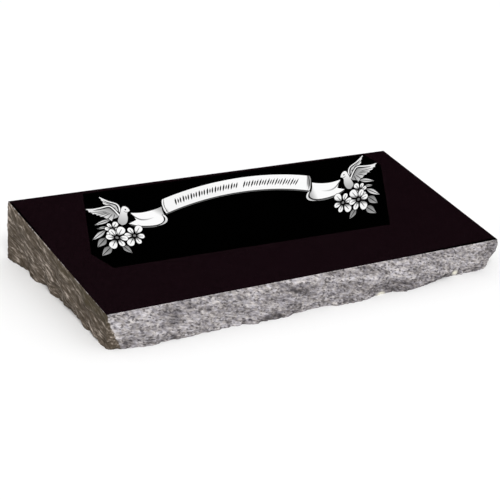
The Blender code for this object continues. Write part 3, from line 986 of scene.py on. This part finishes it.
def add_polished_face(stone):
    """The polished face with its picture: what is etched lies lower, with walls down to it."""
    ring = [(p.x, p.y / math.cos(SLOPE)) for p in stone.points[: stone.around]]
    layers = [Layer(list(shape), None) for shape in (PANEL, *STRIPS)]
    for end in (-1, 1):
        layers += end_layers(end)
    layers += banner_layers()
    plane, triangles, tops = split_face(ring, layers)
    first = stone.add_points([from_face(p) for p in plane[stone.around :]]) - stone.around
    upper = [n if n < stone.around else first + n for n in range(len(plane))]

    shades = [None, *(layer.shade for layer in layers)]
    lowered, edges = {}, {}
    for number, (triangle, top) in enumerate(zip(triangles, tops)):
        if shades[top] is None:
            middle = sum((Vector(plane[n]) for n in triangle), Vector((0.0, 0.0))) / 3
            black = any(inside(middle, shape) for shape in (PANEL, *STRIPS))
            stone.add_face([upper[n] for n in triangle], PANEL_BLACK if black else POLISHED)
            continue
        for n in triangle:
            if n not in lowered:
                lowered[n] = stone.add_points([from_face(plane[n], PICTURE_DEPTH)])
        tones = [tone_at(shades[top], plane[n]) for n in triangle]
        stone.add_face([lowered[n] for n in triangle], ETCHED, tones)
        for a, b in zip(triangle, triangle[1:] + triangle[:1]):
            edges[a, b] = tones[0]
    for (a, b), tone in edges.items():
        if (b, a) not in edges:
            stone.add_face([lowered[a], upper[a], upper[b], lowered[b]], ETCHED, [tone] * 4)


def add_underside(stone):
    foot = SIDE_ROWS * stone.around
    ring = [stone.points[foot + n].xy for n in range(stone.around)]
    made = geometry.delaunay_2d_cdt(ring, [], [list(range(len(ring)))], 1, UNDERSIDE_MERGE)
    for triangle in made[2]:
        corners = [foot + made[3][n][0] for n in triangle]
        stone.add_face(corners[::-1], ROCK)


def stone_mesh(materials):
    stone = Stone()
    for face in side_faces(stone.around):
        stone.add_face(face, ROCK)
    add_polished_face(stone)
    add_underside(stone)
    mesh = bpy.data.meshes.new("marker_stone")
    mesh.from_pydata(stone.points, [], stone.faces)
    for material in materials:
        mesh.materials.append(material)
    mesh.polygons.foreach_set("material_index", stone.materials)
    mesh.polygons.foreach_set("use_smooth", [m == ROCK for m in stone.materials])
    tone = mesh.attributes.new("tone", "FLOAT", "CORNER")
    tone.data.foreach_set("value", stone.tones)
    for name, values in stone.shades.items():
        mesh.attributes.new(name, "FLOAT", "POINT").data.foreach_set("value", values)
    mesh.update()
    return mesh


# Materials


def add_node(tree, kind, inputs=None, **settings):
    """A node with its settings, whose inputs take a value or another node's output."""
    made = tree.nodes.new(kind)
    for name, value in settings.items():
        setattr(made, name, value)
    for name, value in (inputs or {}).items():
        if isinstance(value, bpy.types.NodeSocket):
            tree.links.new(value, made.inputs[name])
        else:
            made.inputs[name].default_value = value
    return made


def new_material(name, roughness):
    made = bpy.data.materials.new(name)
    made.use_nodes = True
    shader = made.node_tree.nodes["Principled BSDF"]
    shader.inputs["Roughness"].default_value = roughness
    return made, made.node_tree, shader


def stone_coordinates(tree, size, turn):
    """Coordinates whose unit is a size in metres along each axis, after a turn in degrees."""
    source = add_node(tree, "ShaderNodeTexCoord")
    turn = tuple(math.radians(angle) for angle in turn)
    mapping = add_node(
        tree, "ShaderNodeMapping",
        {"Vector": source.outputs["Object"], "Rotation": turn, "Scale": size},
        vector_type="TEXTURE",
    )
    return mapping.outputs["Vector"]


def ramp(tree, factor, stops):
    made = add_node(tree, "ShaderNodeValToRGB", {"Fac": factor})
    elements = made.color_ramp.elements
    while len(elements) < len(stops):
        elements.new(0.5)
    for element, (place, colour) in zip(elements, stops):
        element.position = place
        element.color = (*colour, 1.0)
    return made.outputs["Color"]


def flecks(tree, size, turn, kind):
    """Noise of one kind, whose grains have a size along each axis, after a turn."""
    detail, roughness = kind
    made = add_node(
        tree, "ShaderNodeTexNoise",
        {"Vector": stone_coordinates(tree, size, turn), "Scale": 1.0, "Detail": detail,
         "Roughness": roughness},
    )
    return made.outputs["Fac"]


def crystals(tree, size, turn):
    """A value for each crystal, whose size is given along each axis, after a turn."""
    made = add_node(
        tree, "ShaderNodeTexVoronoi", {"Vector": stone_coordinates(tree, size, turn), "Scale": 1.0},
    )
    return made.outputs["Color"]


def calculated(tree, operation, *values):
    made = add_node(tree, "ShaderNodeMath", dict(enumerate(values)), operation=operation)
    return made.outputs["Value"]


def weighted(tree, parts):
    """The sum of values times their weights."""
    total = 0.0
    for value, weight in parts:
        total = calculated(tree, "MULTIPLY_ADD", value, weight, total)
    return total


def mixed(tree, factor, first, second, blend="MIX"):
    made = add_node(
        tree, "ShaderNodeMixRGB", {"Fac": factor, "Color1": first, "Color2": second},
        blend_type=blend,
    )
    return made.outputs["Color"]


def polished_granite(name, colour):
    made, tree, shader = new_material(name, POLISH_ROUGHNESS)
    light = tuple(value * POLISH_LIGHTER for value in colour)
    dark = tuple(value * POLISH_DARKER for value in colour)
    crystal = crystals(tree, POLISH_CRYSTAL_SIZE, NO_TURN)
    shade = ramp(tree, crystal, ((POLISH_DARK_STOP, dark), (POLISH_LIGHT_STOP, light)))
    tree.links.new(shade, shader.inputs["Base Color"])
    return made


def fresh_grey(tree, relief_shade, fine, patches):
    """The fresh stone's colour: grey crystals and dark specks under a faint cool and warm tint, painted
    darker in the relief's hollows and lighter on its ridges, as painted shade and highlight.
    """
    crystal = crystals(tree, CRYSTAL_SIZE, FLECK_TURN)
    parts = zip((relief_shade, fine, patches, crystal), FRESH_WEIGHTS)
    grey = ramp(tree, weighted(tree, parts), FRESH_STOPS)
    speck = calculated(tree, "LESS_THAN", crystal, SPECK_SHARE)
    speck = weighted(tree, ((speck, SPECK_DEPTH),))
    grey = mixed(tree, speck, grey, (*FRESH_DARKEST, 1.0))
    tint = ramp(tree, flecks(tree, TINT_SIZE, FLECK_TURN, PLAIN_NOISE), TINT_STOPS)
    return mixed(tree, 1.0, grey, tint, "MULTIPLY")


def shaded_skin_brown(tree, relief_shade, patches, dull_shown):
    """The skin's colour: brown with long flecks, painted darker as painted shade, and duller where its
    band covers it.
    """
    fine = flecks(tree, SKIN_FLECK_SIZE, SKIN_FLECK_TURN, FLECK_NOISE)
    parts = zip((relief_shade, fine, patches), SKIN_WEIGHTS)
    brown = ramp(tree, weighted(tree, parts), SHADED_SKIN_STOPS)
    return mixed(tree, dull_shown, brown, (*SKIN_DULL, 1.0))


def rock_granite():
    """Fresh grey stone with fine slanted flecks, and a brown skin with long ones on the ends, painted
    darker as painted shade. The relief paints shade into hollows and highlight onto ridges, and pale
    dashes along the arris are a painted highlight.
    """
    made, tree, shader = new_material("rock_pitched_granite", ROCK_ROUGHNESS)
    shader.inputs["Specular IOR Level"].default_value = ROCK_SPECULAR
    relief_shade, shaded_skin_shown, dull_shown, chip_shown, edge = (
        add_node(tree, "ShaderNodeAttribute", attribute_name=name).outputs["Fac"]
        for name in ("relief_shade", "shaded_skin", "dull", "chip", "edge")
    )
    fine = flecks(tree, FLECK_SIZE, FLECK_TURN, FLECK_NOISE)
    patches = flecks(tree, PATCH_SIZE, PATCH_TURN, SOFT_NOISE)
    grey = fresh_grey(tree, relief_shade, fine, patches)
    brown = shaded_skin_brown(tree, relief_shade, patches, dull_shown)
    shade = mixed(tree, shaded_skin_shown, grey, brown)

    # Pale dashes along the arris: a painted highlight.
    highlight_dash = flecks(tree, ARRIS_HIGHLIGHT_SIZE, NO_TURN, PLAIN_NOISE)
    highlight_dash = ramp(tree, highlight_dash, ARRIS_HIGHLIGHT_STOPS)
    narrow = calculated(tree, "POWER", edge, ARRIS_HIGHLIGHT_POWER)
    lighter = calculated(tree, "MULTIPLY", narrow, highlight_dash)
    shade = mixed(tree, lighter, shade, (*FRESH_LIGHT, 1.0))
    shade = mixed(tree, chip_shown, shade, (*CHIP_COLOUR, 1.0))
    tree.links.new(shade, shader.inputs["Base Color"])

    grain = flecks(tree, BUMP_GRAIN_SIZE, NO_TURN, SOFT_NOISE)
    height = weighted(tree, zip((grain, fine), BUMP_WEIGHTS))
    bump = add_node(tree, "ShaderNodeBump", {"Height": height, "Distance": BUMP_DISTANCE})
    tree.links.new(bump.outputs["Normal"], shader.inputs["Normal"])
    return made


def etched_granite():
    made, tree, shader = new_material("etched_granite", ETCHED_ROUGHNESS)
    tone = add_node(tree, "ShaderNodeAttribute", attribute_name="tone").outputs["Fac"]
    bright = calculated(tree, "POWER", tone, ETCHED_POWER)
    bright = calculated(tree, "MULTIPLY", bright, ETCHED_WHITE)
    grey = add_node(tree, "ShaderNodeCombineColor")
    for channel in ("Red", "Green", "Blue"):
        tree.links.new(bright, grey.inputs[channel])
    tree.links.new(grey.outputs["Color"], shader.inputs["Base Color"])
    return made


# The stage


def add_camera():
    back = Vector((
        math.sin(CAMERA_AZIMUTH) * math.cos(CAMERA_ELEVATION),
        -math.cos(CAMERA_AZIMUTH) * math.cos(CAMERA_ELEVATION),
        math.sin(CAMERA_ELEVATION),
    ))
    right = Vector((math.cos(CAMERA_AZIMUTH), math.sin(CAMERA_AZIMUTH), 0.0))
    up = back.cross(right)
    level = Matrix((right, up, back)).transposed().to_4x4()
    camera = bpy.data.objects.new("camera", bpy.data.cameras.new("camera"))
    camera.data.lens = CAMERA_LENS
    place = Matrix.Translation(CAMERA_AIM + back * CAMERA_DISTANCE)
    camera.matrix_world = place @ level @ Matrix.Rotation(-CAMERA_ROLL, 4, "Z")
    bpy.context.scene.collection.objects.link(camera)
    bpy.context.scene.camera = camera


def add_floor():
    mesh = bpy.data.meshes.new("floor")
    half = FLOOR_SIZE / 2
    corners = [(-half, -half, 0), (half, -half, 0), (half, half, 0), (-half, half, 0)]
    mesh.from_pydata(corners, [], [(0, 1, 2, 3)])
    made, _, shader = new_material("floor", FLOOR_ROUGHNESS)
    shader.inputs["Base Color"].default_value = (*FLOOR_COLOUR, 1.0)
    mesh.materials.append(made)
    floor = bpy.data.objects.new("floor", mesh)
    bpy.context.scene.collection.objects.link(floor)


def add_lights():
    world = bpy.data.worlds.new("studio")
    world.use_nodes = True
    background = world.node_tree.nodes["Background"]
    background.inputs["Color"].default_value = (*WORLD_COLOUR, 1.0)
    background.inputs["Strength"].default_value = WORLD_STRENGTH
    world.cycles_visibility.glossy = False
    bpy.context.scene.world = world
    for (azimuth, elevation), strength, spread in SUNS:
        sun = bpy.data.objects.new("sun", bpy.data.lights.new("sun", "SUN"))
        sun.data.energy = strength
        sun.data.angle = math.radians(spread)
        a, e = math.radians(azimuth), math.radians(elevation)
        towards = Vector((math.sin(a) * math.cos(e), -math.cos(a) * math.cos(e), math.sin(e)))
        sun.rotation_mode = "QUATERNION"
        sun.rotation_quaternion = towards.to_track_quat("Z", "Y")
        bpy.context.scene.collection.objects.link(sun)


def main():
    # Blender draws the offsets of noise_vector afresh each time that it starts, unless they are seeded.
    noise.seed_set(NOISE_SEED)
    bpy.context.scene.view_settings.view_transform = "Standard"
    add_camera()
    add_floor()
    add_lights()
    materials = [
        rock_granite(),
        polished_granite("polished_black_granite", POLISHED_COLOUR),
        polished_granite("panel_black_granite", PANEL_COLOUR),
        etched_granite(),
    ]
    stone = bpy.data.objects.new("marker_stone", stone_mesh(materials))
    bpy.context.scene.collection.objects.link(stone)
    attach(stone, "root")
    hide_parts("granite_marker")


main()
